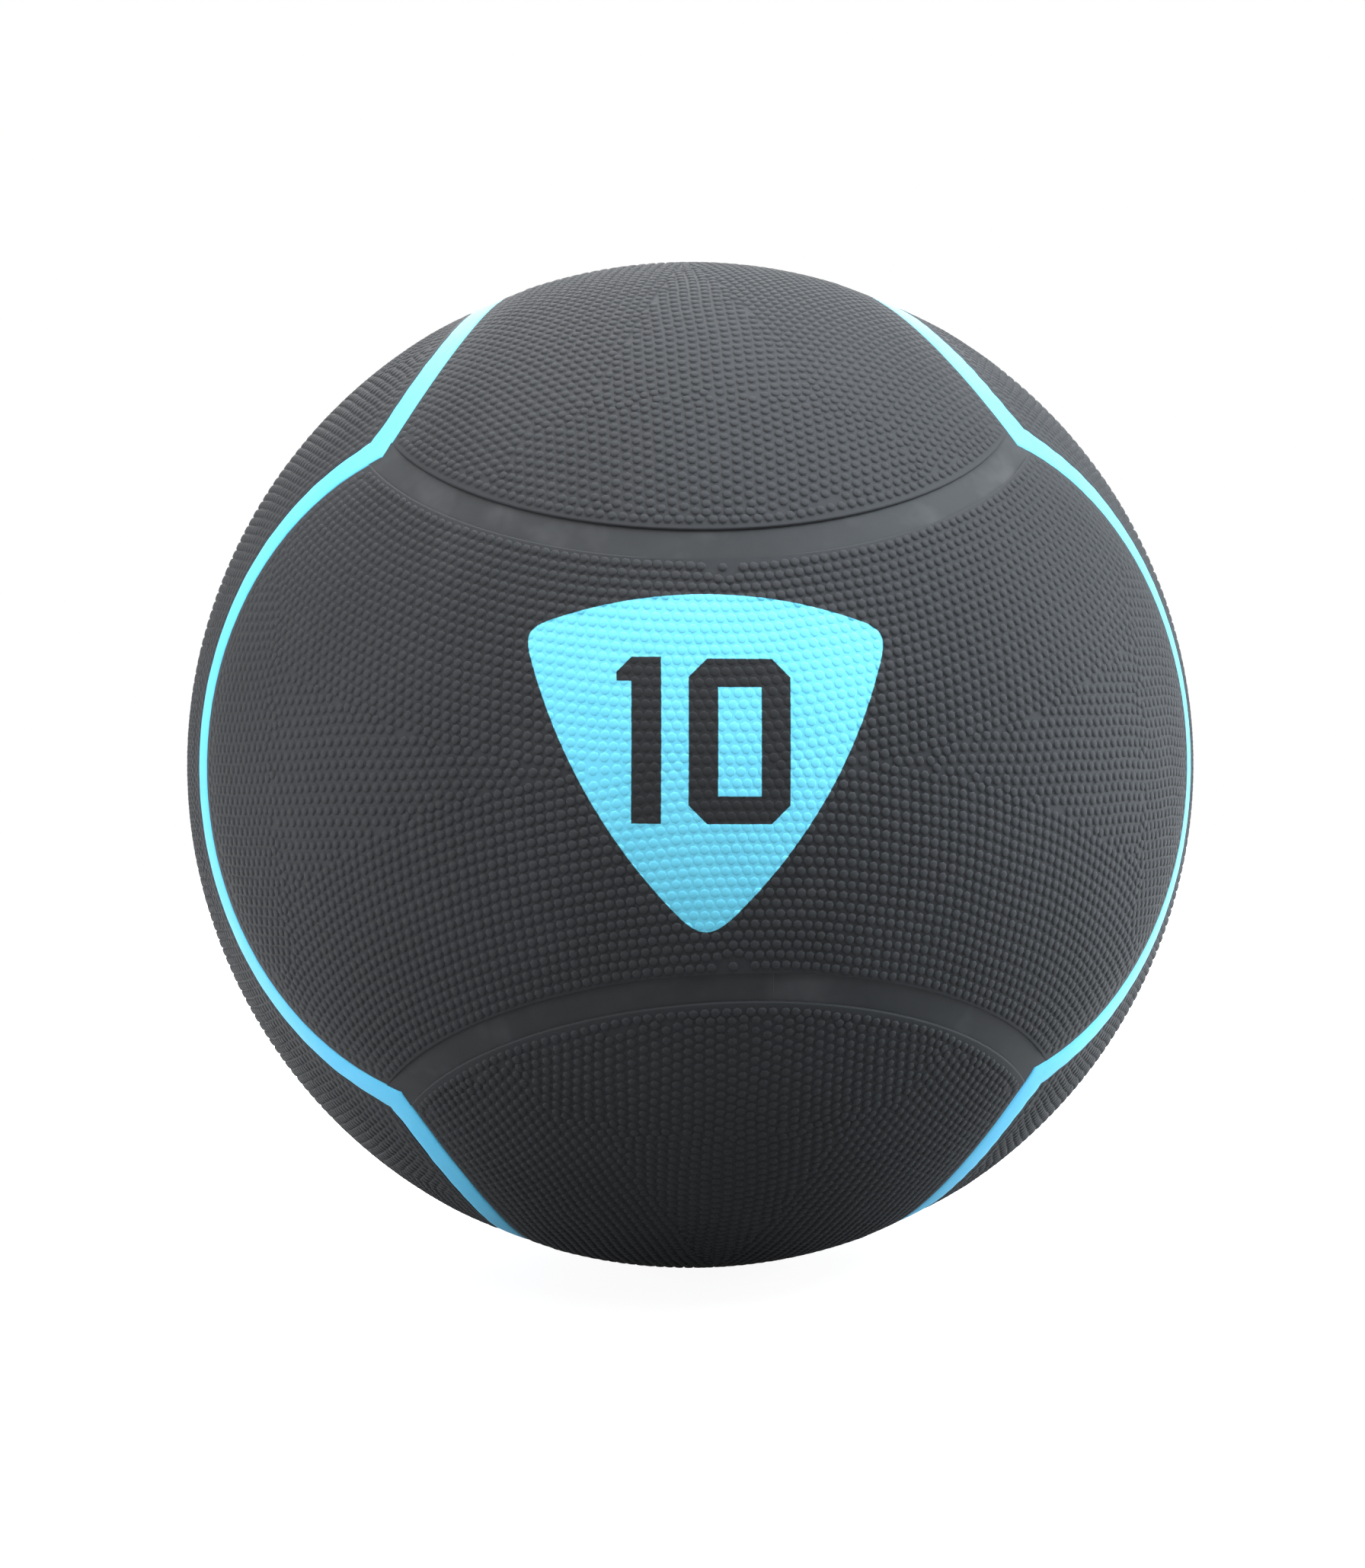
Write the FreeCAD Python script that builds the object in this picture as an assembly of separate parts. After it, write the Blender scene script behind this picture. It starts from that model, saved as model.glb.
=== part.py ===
import FreeCAD, Part
import math
import os

# A 10 kg rubber medicine ball, built in layers about its middle. From the inside out: an
# inflated butyl bladder with its needle valve, two cups of dense filled rubber that carry the
# weight, a nylon winding, a plain rubber carcass, and a moulded cover of six panels. Black
# channels part the front and back panels from the top and bottom ones, and a coloured stripe
# runs round each side panel. The origin is the ball's middle, +Z up and +Y to the back.

V = FreeCAD.Vector

# Layers, mm.
BALL_RADIUS = 143.0        # middle of the ball to the crests of its grip
COVER_THICKNESS = 4.0      # cover panels
CARCASS_THICKNESS = 2.5    # plain rubber that the cover is cured on
WINDING_THICKNESS = 1.2    # nylon yarn
WEIGHT_THICKNESS = 20.0    # dense filled rubber
BLADDER_THICKNESS = 2.0    # butyl rubber
WEIGHT_LAP = 8.0           # depth of the rebate where the two weight cups meet

# Cover pattern. Every edge between two panels is an arc of a circle on the ball. The circle's
# middle lies PANEL_LEAN degrees from the middle of the panel that it hollows, and all the
# circles pass through the eight corners of a cube, where three panels meet.
PANEL_LEAN = 58.95
CHANNEL_WIDTH = 7.6
CHANNEL_DEPTH = 1.5
STRIPE_WIDTH = 8.6
STRIPE_DEPTH = 0.6
EDGE_BEVEL = 0.6           # along the rim of every panel

# Weight badge, mm, a flush inlay in the front panel: a three-cornered shield with bowed sides.
BADGE_HALF_WIDTH = 42.3    # middle to an upper corner, before rounding
BADGE_SHOULDER = 31.75     # height of the upper corners
BADGE_TIP = 40.8           # depth of the lower corner
BADGE_TOP_BOW = 8.15       # rise of the top side above its corners
BADGE_SIDE_BOW = 6.8
BADGE_CORNER_ROUND = 5.5
BADGE_TIP_ROUND = 7.3
BADGE_THICKNESS = 0.4
BADGE_SHIFT = -5.0         # badge's middle from the panel's middle, along X
BADGE_TILT = 1.8           # degrees, top towards +X

# Needle valve, mm, in the middle of the back panel.
VALVE_PAD_RADIUS = 9.0     # smooth round pad
VALVE_PAD_DEPTH = 0.5
VALVE_SINK = 0.8           # mouth of the valve below the ball's surface
BOOT_FLANGE_RADIUS = 17.0
BOOT_FLANGE_THICKNESS = 1.5
BOOT_STEM_RADIUS = 7.0     # through weight, winding and carcass
BOOT_NECK_RADIUS = 4.0     # through the cover
BOOT_CLEARANCE = 0.15
INSERT_RADIUS = 2.5
INSERT_SHOULDER_RADIUS = 3.4
INSERT_SHOULDER_LENGTH = 3.0
INSERT_REACH = 2.5         # tip of the insert inside the bladder's air
NEEDLE_HOLE_RADIUS = 1.2
NEEDLE_HOLE_DEPTH = 22.0   # mouth to the self-sealing end
FUNNEL_RADIUS = 2.1
FUNNEL_DEPTH = 1.5

# Radii of the layers.
COVER_INSIDE = BALL_RADIUS - COVER_THICKNESS
CARCASS_INSIDE = COVER_INSIDE - CARCASS_THICKNESS
WINDING_INSIDE = CARCASS_INSIDE - WINDING_THICKNESS
WEIGHT_INSIDE = WINDING_INSIDE - WEIGHT_THICKNESS
BLADDER_INSIDE = WEIGHT_INSIDE - BLADDER_THICKNESS
VALVE_MOUTH = BALL_RADIUS - VALVE_SINK
OUTSIDE = 1.2 * BALL_RADIUS   # clear of the ball, for tools that cut
SAME_POINT = 0.01             # mm between two points that count as one

# Angles of the cover pattern, in radians at the ball's middle.
LEAN = math.radians(PANEL_LEAN)
EDGE_ANGLE = math.acos((math.cos(LEAN) + math.sin(LEAN)) / math.sqrt(3))
HALF_CHANNEL = 0.5 * CHANNEL_WIDTH / BALL_RADIUS
HALF_STRIPE = 0.5 * STRIPE_WIDTH / BALL_RADIUS

MIDDLE = V(0, 0, 0)
FRONT, BACK = V(0, -1, 0), V(0, 1, 0)
LEFT, RIGHT = V(-1, 0, 0), V(1, 0, 0)
TOP, BOTTOM = V(0, 0, 1), V(0, 0, -1)


def layer(outer, inner):
    """Hollow ball between two radii."""
    return Part.makeSphere(outer).cut(Part.makeSphere(inner))


def rod(radius, start, end):
    """Cylinder along the valve's axis between two distances from the middle."""
    return Part.makeCylinder(radius, end - start, BACK * start, BACK)


def edge_circle(panel, neighbour, grow=0):
    """Axis and opening angle of the circle with which a panel bulges over a neighbour."""
    return panel * math.sin(LEAN) + neighbour * math.cos(LEAN), EDGE_ANGLE + grow


def crossing(one, other, corner):
    """Where two circles cross on the unit ball, next to a corner."""
    (axis, angle), (other_axis, other_angle) = one, other
    lean = axis.dot(other_axis)
    across = axis.cross(other_axis)
    share = (math.cos(angle) - lean * math.cos(other_angle)) / (1 - lean * lean)
    other_share = (math.cos(other_angle) - lean * math.cos(angle)) / (1 - lean * lean)
    base = axis * share + other_axis * other_share
    height = math.sqrt((1 - base.dot(base)) / across.dot(across))
    return max(base + across * height, base - across * height, key=corner.dot)


def outline(border, radius):
    """Closed wire on a ball: each circle leads up to the corner beside it in the lists."""
    circles, corners = border
    count = len(circles)
    ends = [crossing(circles[i], circles[(i + 1) % count], corners[i]) for i in range(count)]
    arcs = []
    for i, (axis, angle) in enumerate(circles):
        hub = axis * math.cos(angle)
        bow = (ends[i - 1] + ends[i]) * 0.5 - hub
        halfway = hub + bow.normalize() * math.sin(angle)
        arcs.append(Part.Arc(ends[i - 1] * radius, halfway * radius, ends[i] * radius).toShape())
    return Part.Wire(arcs)


def patch(rings, hole_rings=()):
    """Piece of a ball's skin. Its rings are wires from the outside of the ball inwards."""
    faces = []
    for i in (0, -1):
        ball = Part.Sphere()
        ball.Radius = rings[i].Vertexes[0].Point.Length
        face = Part.Face(ball, rings[i])
        face.validate()
        if hole_rings:
            hole = Part.Face(ball, hole_rings[i])
            hole.validate()
            face = face.cut(hole).Faces[0]
        faces.append(face)
    for wires in (rings, hole_rings):
        for over, under in zip(wires, wires[1:]):
            faces += [Part.makeRuledSurface(e, f) for e, f in zip(over.Edges, under.Edges)]
    skin = Part.makeShell(faces)
    skin.sewShape()
    return Part.Solid(skin)


def panel_border(lobe, hollow):
    """Border of a cover panel as the front one lies, its four edges moved out by two angles."""
    circles = [edge_circle(FRONT, LEFT, lobe), edge_circle(BOTTOM, FRONT, -hollow),
               edge_circle(FRONT, RIGHT, lobe), edge_circle(TOP, FRONT, -hollow)]
    corners = [FRONT + LEFT + BOTTOM, FRONT + RIGHT + BOTTOM,
               FRONT + RIGHT + TOP, FRONT + LEFT + TOP]
    return circles, corners


def channel_border():
    """Border of the strip along the left edge of the front panel, between two stripes."""
    low, high = FRONT + LEFT + BOTTOM, FRONT + LEFT + TOP
    circles = [edge_circle(FRONT, LEFT, HALF_CHANNEL),
               edge_circle(LEFT, BOTTOM, -HALF_STRIPE), edge_circle(BOTTOM, FRONT, HALF_STRIPE),
               edge_circle(FRONT, LEFT, -HALF_CHANNEL),
               edge_circle(TOP, FRONT, HALF_STRIPE), edge_circle(LEFT, TOP, -HALF_STRIPE)]
    return circles, [low, low, low, high, high, high]


def turned(shape, face, side):
    """Turn a piece from where the front panel lies, so front goes to face and left to side."""
    third, start = face.cross(side), FRONT.cross(LEFT)
    rows = [(side[i] * LEFT.x, face[i] * FRONT.y, third[i] * start.z, 0) for i in range(3)]
    shape = shape.copy()
    shape.transformShape(FreeCAD.Matrix(*rows[0], *rows[1], *rows[2], 0, 0, 0, 1))
    return shape


def cover_panel(half_lobe, half_hollow):
    """Cover panel as the front one lies, short of its edges by half of the gaps round it."""
    bevel = EDGE_BEVEL / BALL_RADIUS
    border = panel_border(-half_lobe, -half_hollow)
    return patch([outline(panel_border(-half_lobe - bevel, -half_hollow - bevel), BALL_RADIUS),
                  outline(border, BALL_RADIUS - EDGE_BEVEL), outline(border, COVER_INSIDE)])


def side_stripe():
    """Coloured strip round a side panel, as if that were the front one."""
    radii = (BALL_RADIUS - STRIPE_DEPTH, COVER_INSIDE)
    around, within = panel_border(HALF_STRIPE, HALF_STRIPE), panel_border(-HALF_STRIPE, -HALF_STRIPE)
    return patch([outline(around, radius) for radius in radii],
                 [outline(within, radius) for radius in radii])


def channel():
    """Black strip between the front and left panels."""
    radii = (BALL_RADIUS - CHANNEL_DEPTH, COVER_INSIDE)
    return patch([outline(channel_border(), radius) for radius in radii])


def bowed(start, end, bow):
    """Arc from one corner of the badge to the next, bowed outwards."""
    along = end - start
    outward = V(-along.z, 0, along.x).normalize()
    return Part.Arc(start, (start + end) * 0.5 + outward * bow, end).toShape()


def badge():
    """Shield-shaped inlay, cut from the ball's skin along the front panel's own direction."""
    upper_left = V(-BADGE_HALF_WIDTH, 0, BADGE_SHOULDER)
    upper_right = V(BADGE_HALF_WIDTH, 0, BADGE_SHOULDER)
    lower = V(0, 0, -BADGE_TIP)
    sides = [bowed(upper_left, upper_right, BADGE_TOP_BOW),
             bowed(upper_right, lower, BADGE_SIDE_BOW), bowed(lower, upper_left, BADGE_SIDE_BOW)]
    shield = Part.Face(Part.Wire(sides)).extrude(FRONT * OUTSIDE)
    for corners, radius in (((upper_left, upper_right), BADGE_CORNER_ROUND),
                            ((lower,), BADGE_TIP_ROUND)):
        upright = [edge for edge in shield.Edges for corner in corners
                   if all(math.hypot(vertex.X - corner.x, vertex.Z - corner.z) < SAME_POINT
                          for vertex in edge.Vertexes)]
        shield = shield.makeFillet(radius, upright)
    shield.rotate(MIDDLE, BACK, BADGE_TILT)
    shield.translate(RIGHT * BADGE_SHIFT)
    return shield.common(layer(BALL_RADIUS, BALL_RADIUS - BADGE_THICKNESS))


def valve_insert():
    """Plug that holds the air in, with a shoulder inside the bladder and a needle hole."""
    tip = BLADDER_INSIDE - INSERT_REACH
    plug = rod(INSERT_RADIUS, tip, VALVE_MOUTH)
    plug = plug.fuse(rod(INSERT_SHOULDER_RADIUS, tip, tip + INSERT_SHOULDER_LENGTH))
    funnel = Part.makeCone(NEEDLE_HOLE_RADIUS, FUNNEL_RADIUS, FUNNEL_DEPTH,
                           BACK * (VALVE_MOUTH - FUNNEL_DEPTH), BACK)
    needle_hole = rod(NEEDLE_HOLE_RADIUS, VALVE_MOUTH - NEEDLE_HOLE_DEPTH, VALVE_MOUTH)
    return plug, plug.cut(needle_hole).cut(funnel)


def valve_boot(plug):
    """Rubber boot that is bonded to the bladder and carries the insert out to the cover."""
    flange_top = WEIGHT_INSIDE + BOOT_FLANGE_THICKNESS
    flange = rod(BOOT_FLANGE_RADIUS, 0, OUTSIDE).common(layer(flange_top, WEIGHT_INSIDE))
    stem = rod(BOOT_STEM_RADIUS, 0, OUTSIDE).common(layer(COVER_INSIDE, WEIGHT_INSIDE))
    neck = rod(BOOT_NECK_RADIUS, flange_top, VALVE_MOUTH)
    return flange.fuse(stem).fuse(neck).cut(plug)


half_gaps = {"front": (HALF_STRIPE, HALF_CHANNEL), "back": (HALF_STRIPE, HALF_CHANNEL),
             "left": (HALF_STRIPE, HALF_STRIPE), "right": (HALF_STRIPE, HALF_STRIPE),
             "top": (HALF_CHANNEL, HALF_STRIPE), "bottom": (HALF_CHANNEL, HALF_STRIPE)}
# The way each panel faces, and one of the two neighbours that it bulges over.
places = {"front": (FRONT, LEFT), "back": (BACK, RIGHT), "left": (LEFT, TOP),
          "right": (RIGHT, TOP), "top": (TOP, FRONT), "bottom": (BOTTOM, FRONT)}

nodes = {}
for side, (face, neighbour) in places.items():
    nodes[side + "_panel"] = turned(cover_panel(*half_gaps[side]), face, neighbour)
for side in ("top", "bottom"):
    for other in ("front", "back"):
        nodes[side + "_" + other + "_channel"] = turned(channel(), places[side][0],
                                                        places[other][0])
for side in ("left", "right"):
    nodes[side + "_stripe"] = turned(side_stripe(), *places[side])
nodes["weight_badge"] = badge()
nodes["front_panel"] = nodes["front_panel"].cut(nodes["weight_badge"])

plug, nodes["valve_insert"] = valve_insert()
nodes["valve_boot"] = valve_boot(plug)
neck_hole = rod(BOOT_NECK_RADIUS + BOOT_CLEARANCE, 0, OUTSIDE)
stem_hole = rod(BOOT_STEM_RADIUS + BOOT_CLEARANCE, 0, OUTSIDE)
flange_seat = rod(BOOT_FLANGE_RADIUS + BOOT_CLEARANCE, 0, OUTSIDE).common(
    Part.makeSphere(WEIGHT_INSIDE + BOOT_FLANGE_THICKNESS))
pad = rod(VALVE_PAD_RADIUS, BALL_RADIUS - VALVE_PAD_DEPTH, OUTSIDE)
nodes["back_panel"] = nodes["back_panel"].cut(neck_hole).cut(pad)

# Inner layers. The weight cups meet in the plane between front and back, with a rebate.
nodes["carcass"] = layer(COVER_INSIDE, CARCASS_INSIDE).cut(stem_hole)
nodes["winding"] = layer(CARCASS_INSIDE, WINDING_INSIDE).cut(stem_hole)
weight = layer(WINDING_INSIDE, WEIGHT_INSIDE)
width = 2 * OUTSIDE
front_half = Part.makeBox(width, OUTSIDE, width, V(-OUTSIDE, -OUTSIDE, -OUTSIDE))
lap = Part.makeBox(width, WEIGHT_LAP, width, V(-OUTSIDE, 0, -OUTSIDE))
spigot = layer(WEIGHT_INSIDE + 0.5 * WEIGHT_THICKNESS, WEIGHT_INSIDE).common(lap)
nodes["front_weight"] = weight.common(front_half).fuse(spigot)
nodes["back_weight"] = weight.cut(front_half).cut(spigot).cut(stem_hole).cut(flange_seat)
nodes["bladder"] = layer(WEIGHT_INSIDE, BLADDER_INSIDE).cut(plug)

os.makedirs("parts", exist_ok=True)
for name, shape in nodes.items():
    shape = shape.removeSplitter()
    shape.exportStep("parts/" + name + ".step")
    print("%-22s solids %d faces %2d valid %s volume %8.0f mm3" % (
        name, len(shape.Solids), len(shape.Faces), shape.isValid(), shape.Volume))
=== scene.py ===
import math

import bpy
import numpy as np
from mathutils import Matrix, Vector
from mathutils.kdtree import KDTree


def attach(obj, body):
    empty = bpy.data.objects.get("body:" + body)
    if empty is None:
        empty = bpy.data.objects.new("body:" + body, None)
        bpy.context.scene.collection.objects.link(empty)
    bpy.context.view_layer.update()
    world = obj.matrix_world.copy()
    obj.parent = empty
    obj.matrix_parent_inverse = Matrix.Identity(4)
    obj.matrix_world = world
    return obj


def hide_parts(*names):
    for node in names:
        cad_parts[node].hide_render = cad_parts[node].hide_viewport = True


# A rubber medicine ball: pebbled black panels with inlaid channels, blue stripes round the two
# side panels, a printed weight badge and a needle valve. Angles are in radians and lengths in mm,
# apart from the sizes and places of the studio, which are in metres.

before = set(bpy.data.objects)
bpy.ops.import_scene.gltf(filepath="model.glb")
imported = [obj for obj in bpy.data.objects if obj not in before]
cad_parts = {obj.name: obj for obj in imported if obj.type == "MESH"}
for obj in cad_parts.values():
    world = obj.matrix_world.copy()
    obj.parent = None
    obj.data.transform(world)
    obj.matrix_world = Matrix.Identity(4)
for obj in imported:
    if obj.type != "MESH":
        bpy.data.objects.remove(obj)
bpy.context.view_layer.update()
MM = 0.001
random = np.random.default_rng(10)

FRONT, BACK = np.array((0.0, -1, 0)), np.array((0.0, 1, 0))
LEFT, RIGHT = np.array((-1.0, 0, 0)), np.array((1.0, 0, 0))
TOP, BOTTOM = np.array((0.0, 0, 1)), np.array((0.0, 0, -1))

# Cover pattern, as in the part: every edge is an arc of a circle on the ball.
BALL_RADIUS = 143.0
PEBBLE_HEIGHT = 0.50
CREST_RADIUS = BALL_RADIUS - 0.02   # of the pebbles, just inside the part
SKIN_RADIUS = CREST_RADIUS - PEBBLE_HEIGHT
LEAN = math.radians(58.95)   # from a neighbour's middle to the circle with which a panel bulges over it
EDGE_ANGLE = math.acos((math.cos(LEAN) + math.sin(LEAN)) / math.sqrt(3))
CHANNEL_WIDTH = 7.6
STRIPE_WIDTH = 8.6
HALF_CHANNEL = 0.5 * CHANNEL_WIDTH / BALL_RADIUS
HALF_STRIPE = 0.5 * STRIPE_WIDTH / BALL_RADIUS

# Each panel: half the width of the channel or stripe along its bulging and along its hollow edges,
# and the directions to which the front panel's FRONT and LEFT are turned to give it.
HALF_GAPS = {"front": (HALF_STRIPE, HALF_CHANNEL), "back": (HALF_STRIPE, HALF_CHANNEL),
             "left": (HALF_STRIPE, HALF_STRIPE), "right": (HALF_STRIPE, HALF_STRIPE),
             "top": (HALF_CHANNEL, HALF_STRIPE), "bottom": (HALF_CHANNEL, HALF_STRIPE)}
PLACES = {"front": (FRONT, LEFT), "back": (BACK, RIGHT), "left": (LEFT, TOP),
          "right": (RIGHT, TOP), "top": (TOP, FRONT), "bottom": (BOTTOM, FRONT)}

# Rim of a panel from its skin down to the foot of its wall: in from the edge, radius, tilt.
RIM = ((0.55, SKIN_RADIUS, 0.0), (0.26, SKIN_RADIUS - 0.03, 0.3), (0.08, SKIN_RADIUS - 0.11, 0.8),
       (0.01, SKIN_RADIUS - 0.25, 1.3), (0.0, SKIN_RADIUS - 0.4, 1.5), (0.0, BALL_RADIUS - 3.5, 1.57))
EDGE_POINTS = 41             # along each edge of a panel

# One pebble, from the foot up: share of the radius, share of the height, tilt of the surface.
PEBBLE_PROFILE = ((1.0, -0.12, 0.0), (0.87, 0.40, 0.85), (0.60, 0.88, 0.27))
PEBBLE_SIDES = 7
PEBBLE_RADIUS = 1.29
RADIUS_SPREAD, HEIGHT_SPREAD = 0.02, 0.04   # from pebble to pebble, as shares
ASKEW = np.array((0.13, 0.21, 0.97))        # a direction in which no pebble lies
LOW_PEBBLE_SLOPE = 0.35      # power by which lower pebbles get gentler sides
LOW_PEBBLES = (0.4, 10.0)    # share of the height in the row beside a stripe, and mm over which it grows
LEAST_LEAN = 0.3             # towards a side, of the pebbles that can lie beside its stripe

# Rows of pebbles along the skin.
ROW_PITCH = 2.56             # between rows that follow the top and bottom edges of a panel
COLUMN_PITCH = 2.62          # between the pebbles of such a row, measured round the panel
ROW_REACH = 1.25             # to which such rows run round the panel
STAGGER_FADE = 19            # pebbles from the middle, over which every other row falls back in step
WEDGE_PITCH = 2.75           # level rows across the middle
SIDE_PITCH = 2.64            # level rows beside the bulging edges
FILL_PITCH = 2.1             # trial rows for the bare spots between the blocks
LEVEL_SPACING = 2.88         # between the pebbles of a level row
LEVEL_REACH = 0.75           # to which level rows go up and down
PANEL_REACH = 1.3            # beyond every panel's edge
ROWS_END = LEAN + math.radians(1.5)   # opening angle of the last row that follows an edge
SIDE_START = math.radians(51.5)       # round the panel, where the level rows beside the edges start
SIDE_END = math.radians(55.2)         # opening angle of the last edge row that runs on above them
SIDE_OVERLAP = 0.004         # of the side rows on the middle ones
EDGE_MARGIN = 2.0            # panel edge to the middle of the first pebble
LOBE_MARGIN = 2.6            # the same at a bulging edge
MARGIN_SLACK = 0.05          # so that the first row itself stays in
MOST_OVERRUN = 0.02          # beyond a margin, that is mended in one go, as an angle
RIM_ROW_END = 0.02           # short of the corners
LEAST_SPACING = 1.8          # at which a pebble is still put in
EASY_SPACING = 2.42          # to which crowded pebbles are pushed apart
PUSH_REACH = 4.2             # within which pebbles can push each other
PUSH_SHARE = 0.22            # of the way, in each round
PUSH_ROUNDS = 30
ROW_WAVES = 6                # slow waves by which the rows drift
ROW_WAVE_LENGTHS = (18, 40)
ROW_DRIFT = 0.16             # by each wave
PEBBLE_SCATTER = 0.06

# Valve.
PANEL_HOLE = 7.5             # in the back panel's skin, under the pad
PAD_RADIUS = 9.0
PAD_CLEARANCE = 2.0          # to the middle of the nearest pebbles
PAD_RISE = 0.14
NECK_HOLE = 4.05
PAD_SIDES = 64
# From the foot in: reach, rise over the skin, tilt.
PAD_PROFILE = ((13.0, -0.05, 0.0), (10.3, -0.03, 0.03), (9.5, 0.015, 0.0),
               (PAD_RADIUS, PAD_RISE * 0.6, 0.5), (PAD_RADIUS - 0.4, PAD_RISE, 0.1), (6.5, PAD_RISE, 0.0),
               (NECK_HOLE + 0.35, PAD_RISE - 0.01, -0.15), (NECK_HOLE, PAD_RISE - 0.2, -0.9),
               (NECK_HOLE, PAD_RISE - 3.0, -1.5))

# Channels.
CHANNEL_RADIUS = SKIN_RADIUS - 0.7
CHANNEL_DISH = 0.10          # of the floor below its sides
CHANNEL_TILT = 0.03          # of the floor at its sides
CHANNEL_LAP = 1.06           # share of the half width, to tuck under the rims
CHANNEL_ROWS = 15
CHANNEL_POINTS = 161
CHANNEL_TOP = 0.12           # of the floor's ends below the skin
CLIMB_START, CLIMB_LENGTH = 4.0, 9.0   # of the floor's rise to a stripe, from its end
SEAM_PLACE, SEAM_HALF_WIDTH = 9.6, 0.14   # fine mould seam across the front bottom channel

# Stripes.
STRIPE_RADIUS = SKIN_RADIUS + 0.02
STRIPE_POINTS = 161          # along each side of a stripe
CORNER_REACH = 4.0           # of the thick paint at a stripe's corners
PAINT_OVERLAP = {"left": -0.4, "right": 0.0}   # of each stripe on the panels beside it
CORNER_SWELL = (0.75, -0.3)  # over the side panel's corner, short of the channel's end
BRUSH_WAVES = (13, 23, 31, 47, 61, 83, 109, 131)   # wobbles round a stripe's edge
BRUSH_WOBBLE = 0.05
# Across a stripe: share of the half width, height and tilt.
STRIPE_SECTION = ((-1.22, -0.62, -1.0), (-1.09, -0.22, -0.9), (-1.03, -0.08, -0.6), (-0.96, 0.0, -0.25),
                  (-0.6, 0.06, -0.03), (0.0, 0.08, 0.0), (0.6, 0.06, 0.03),
                  (0.96, 0.0, 0.25), (1.03, -0.08, 0.6), (1.09, -0.22, 0.9), (1.22, -0.62, 1.0))

# Weight badge.
BADGE_SHIFT, BADGE_TILT = -5.0, math.radians(1.8)
BADGE_HALF_WIDTH, BADGE_SHOULDER, BADGE_TIP = 42.3, 31.75, 40.8
BADGE_TOP_BOW, BADGE_SIDE_BOW = 8.15, 6.8
BADGE_CORNER_BLEND, BADGE_TIP_BLEND = 7.7, 10.9
BADGE_REACH = 60.0           # beyond the outline on every side
BADGE_POINTS, BADGE_RINGS = 144, 14   # round the sheet, and from its middle out
BADGE_HEM = (1.002, -0.06)   # share of the outline and rise of the sheet's tucked edge
PAINT_THICKNESS = 0.10
PRINTED_HEIGHT = 0.12        # of the pebbles under the paint

# Plain numerals of the weight, 10: left, right, low and high side of each box on the badge.
ONE_STEM = (-17.6, -10.75, -13.15, 25.3)
ONE_FLAG = (-21.0, -12.0, 19.7, 25.3)
ONE_FLAG_CUT = 42.8          # up less across, where the flag's slanted end runs
ZERO_OUTSIDE = (-4.5, 19.05, -13.2, 24.9)
ZERO_INSIDE = (2.3, 12.3, -6.8, 18.3)
ZERO_CLIP = 4.3              # off each outer corner
SLANT = 0.7                  # from across and up together to the distance from a slanted side
PRINT_SOFTNESS = 0.16        # of the print's edge
PRINT_RAGGEDNESS = 0.2


# Pattern on the unit ball.

def unit(points):
    return points / np.linalg.norm(points, axis=-1, keepdims=True)


def edge_circle(panel, neighbour, grow=0.0):
    """Axis and opening angle of the circle with which a panel bulges over a neighbour."""
    return panel * math.sin(LEAN) + neighbour * math.cos(LEAN), EDGE_ANGLE + grow


def crossing(one, other, corner):
    """Where two circles cross, next to a corner."""
    (axis, angle), (other_axis, other_angle) = one, other
    lean, across = axis @ other_axis, np.cross(axis, other_axis)
    share = (math.cos(angle) - lean * math.cos(other_angle)) / (1 - lean * lean)
    other_share = (math.cos(other_angle) - lean * math.cos(angle)) / (1 - lean * lean)
    base = axis * share + other_axis * other_share
    height = math.sqrt((1 - base @ base) / (across @ across))
    return max(base + across * height, base - across * height, key=lambda point: point @ corner)


def arc(circle, start, end, count):
    """Points along a circle between two of its points, the short way."""
    axis, angle = circle
    hub = axis * math.cos(angle)
    along = start - hub
    across = np.cross(axis, along)
    sweep = math.atan2((end - hub) @ across, (end - hub) @ along)
    turn = np.linspace(0, sweep, count)[:, None]
    return hub + along * np.cos(turn) + across * np.sin(turn)


def panel_arcs(lobe, hollow, count):
    """Left, bottom, right and top edge of a cover panel as the front one lies."""
    circles = [edge_circle(FRONT, LEFT, lobe), edge_circle(BOTTOM, FRONT, -hollow),
               edge_circle(FRONT, RIGHT, lobe), edge_circle(TOP, FRONT, -hollow)]
    corners = [FRONT + LEFT + BOTTOM, FRONT + RIGHT + BOTTOM,
               FRONT + RIGHT + TOP, FRONT + LEFT + TOP]
    ends = [crossing(circles[i], circles[(i + 1) % 4], corners[i]) for i in range(4)]
    return [arc(circles[i], ends[i - 1], ends[i], count) for i in range(4)]


def panel_ring(lobe, hollow, count):
    """Closed line round a panel."""
    return np.concatenate([edge[:-1] for edge in panel_arcs(lobe, hollow, count)])


def panel_field(lobe, hollow, count):
    """Square net of points between the four edges of a panel."""
    left, bottom, right, top = panel_arcs(lobe, hollow, count)
    left, top = left[::-1], top[::-1]
    u, v = np.meshgrid(np.linspace(0, 1, count), np.linspace(0, 1, count))
    u, v = u[..., None], v[..., None]
    sides = (1 - u) * left[:, None] + u * right[:, None]
    ends = (1 - v) * bottom[None] + v * top[None]
    corners = ((1 - u) * (1 - v) * bottom[0] + u * (1 - v) * bottom[-1]
               + (1 - u) * v * top[0] + u * v * top[-1])
    return unit(sides + ends - corners)


def outward(ring):
    """Directions along the ball, square to a closed ring and away from its middle."""
    along = np.roll(ring, -1, 0) - np.roll(ring, 1, 0)
    out = unit(np.cross(along, ring))
    middle = ring.mean(0)
    return out if (out @ middle).mean() < 0 else -out


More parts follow.
